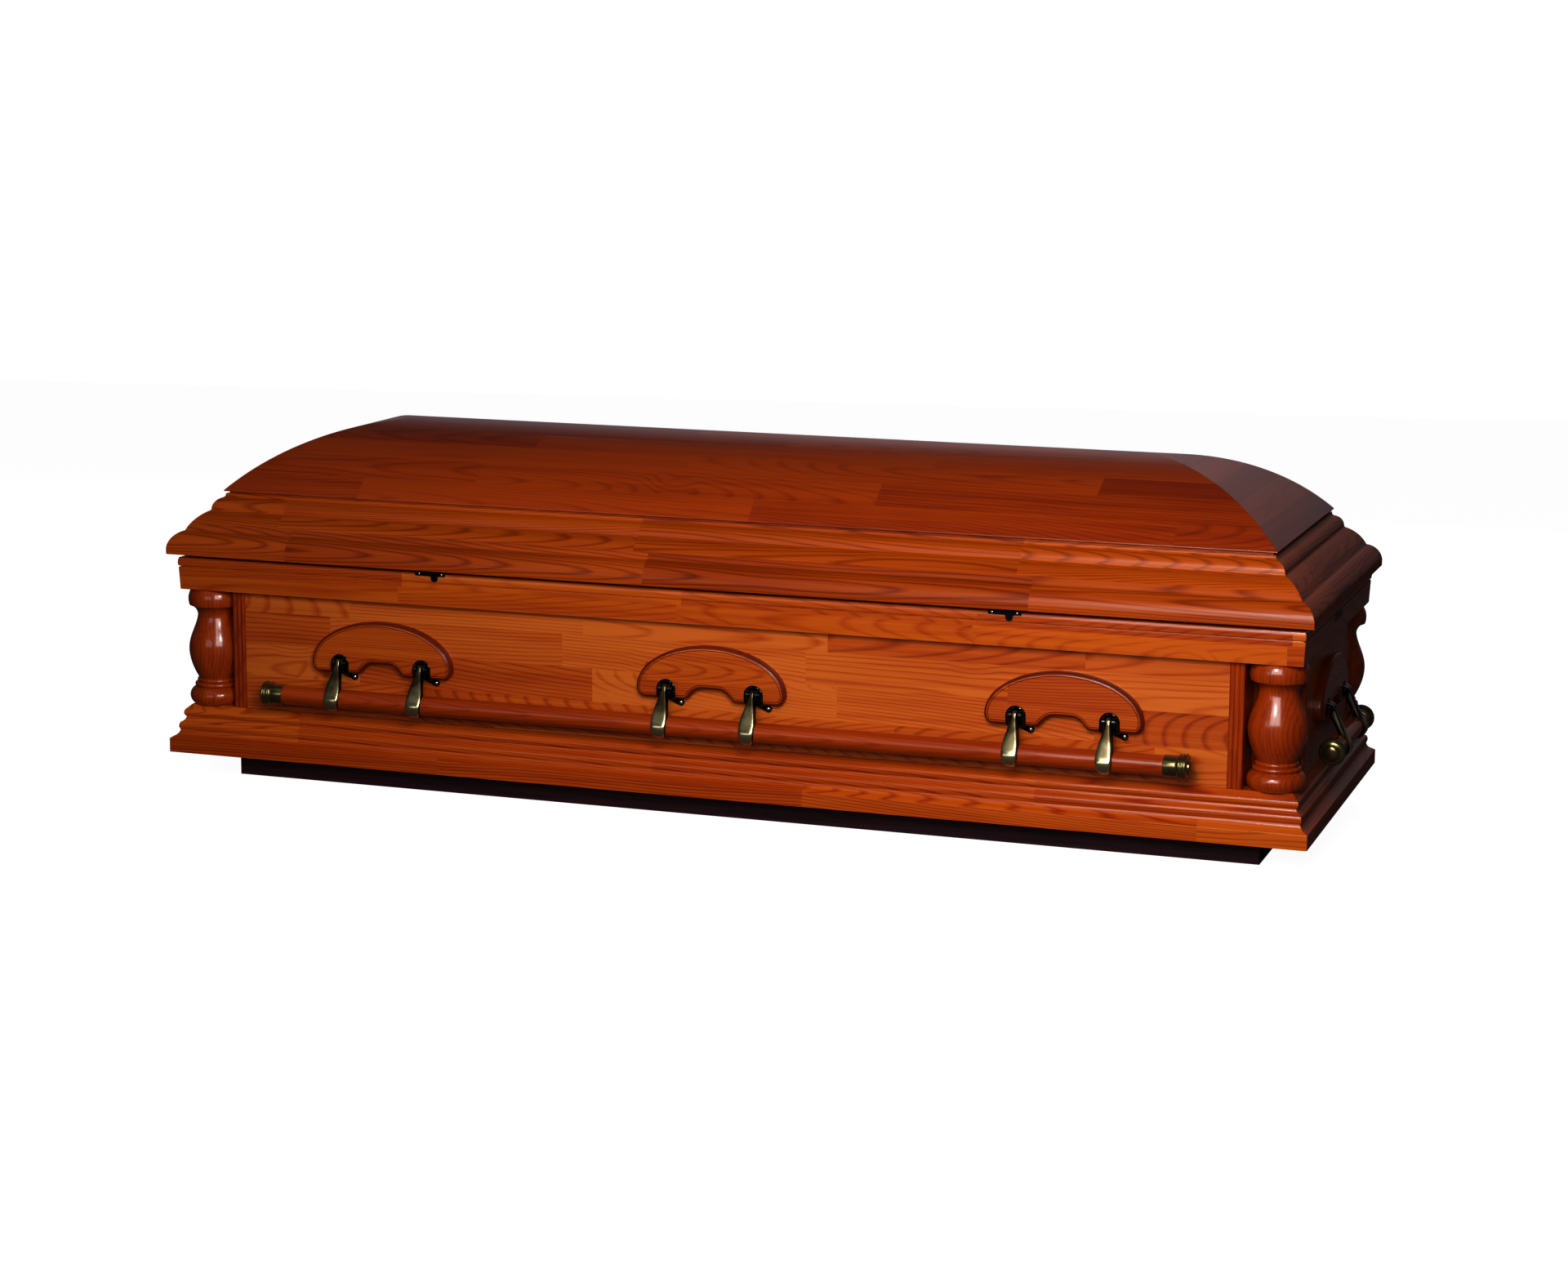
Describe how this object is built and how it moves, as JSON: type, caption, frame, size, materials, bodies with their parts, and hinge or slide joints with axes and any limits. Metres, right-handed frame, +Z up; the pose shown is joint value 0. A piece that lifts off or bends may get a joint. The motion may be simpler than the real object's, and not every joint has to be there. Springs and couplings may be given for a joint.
{
  "type": "wooden casket",
  "caption": "Lacquered hardwood casket with a stepped base, turned corner columns, a hipped dome lid and swing-bar handles of wood and brass.",
  "frame": {"origin": "middle of the underside, on the plane that the plinth stands on", "axes": "+X along the length to the right, -Y towards the front, +Z up"},
  "size_m": [2.1856, 0.7686, 0.6599],
  "materials": {
    "lacquered_wood": "red-brown stained ash under gloss lacquer",
    "plain_board": "bare sanded board",
    "dark_plinth": "dark maroon stain, satin",
    "antique_brass": "cast, antiqued and polished on the high spots",
    "black_steel": "black gloss enamel"
  },
  "bodies": {
    "casket": {"back_panel": "lacquered_wood", "base_moulding": "lacquered_wood", "catch_left": "black_steel", "catch_right": "black_steel", "column_back_left": "lacquered_wood", "column_back_right": "lacquered_wood", "column_front_left": "lacquered_wood", "column_front_right": "lacquered_wood", "crown_back": "lacquered_wood", "crown_front": "lacquered_wood", "crown_left_end": "lacquered_wood", "crown_right_end": "lacquered_wood", "floor_board": "plain_board", "front_panel": "lacquered_wood", "left_end_panel": "lacquered_wood", "lid_rim": "lacquered_wood", "lug_back_1": "lacquered_wood", "lug_back_2": "lacquered_wood", "lug_back_3": "lacquered_wood", "lug_front_1": "lacquered_wood", "lug_front_2": "lacquered_wood", "lug_front_3": "lacquered_wood", "lug_left": "lacquered_wood", "lug_right": "lacquered_wood", "plinth": "dark_plinth", "post_back_left": "lacquered_wood", "post_back_right": "lacquered_wood", "post_front_left": "lacquered_wood", "post_front_right": "lacquered_wood", "right_end_panel": "lacquered_wood", "top_rail": "lacquered_wood"},
    "front_handle": {"arm_front_1_a": "antique_brass", "arm_front_1_b": "antique_brass", "arm_front_2_a": "antique_brass", "arm_front_2_b": "antique_brass", "arm_front_3_a": "antique_brass", "arm_front_3_b": "antique_brass", "bar_front": "lacquered_wood", "cap_front_a": "antique_brass", "cap_front_b": "antique_brass"},
    "back_handle": {"arm_back_1_a": "antique_brass", "arm_back_1_b": "antique_brass", "arm_back_2_a": "antique_brass", "arm_back_2_b": "antique_brass", "arm_back_3_a": "antique_brass", "arm_back_3_b": "antique_brass", "bar_back": "lacquered_wood", "cap_back_a": "antique_brass", "cap_back_b": "antique_brass"},
    "left_handle": {"arm_left_a": "antique_brass", "arm_left_b": "antique_brass", "bar_left": "lacquered_wood", "cap_left_a": "antique_brass", "cap_left_b": "antique_brass"},
    "right_handle": {"arm_right_a": "antique_brass", "arm_right_b": "antique_brass", "bar_right": "lacquered_wood", "cap_right_a": "antique_brass", "cap_right_b": "antique_brass"}
  },
  "joints": [
    {"name": "front_handle_swing", "type": "hinge", "parent": "casket", "child": "front_handle", "pos_m": [0, -0.3425, 0.245], "axis": [-1, 0, 0], "range_deg": [0, 74]},
    {"name": "back_handle_swing", "type": "hinge", "parent": "casket", "child": "back_handle", "pos_m": [0, 0.3425, 0.245], "axis": [1, 0, 0], "range_deg": [0, 74]},
    {"name": "left_handle_swing", "type": "hinge", "parent": "casket", "child": "left_handle", "pos_m": [-1.051, 0, 0.245], "axis": [0, 1, 0], "range_deg": [0, 74]},
    {"name": "right_handle_swing", "type": "hinge", "parent": "casket", "child": "right_handle", "pos_m": [1.051, 0, 0.245], "axis": [0, -1, 0], "range_deg": [0, 74]}
  ]
}
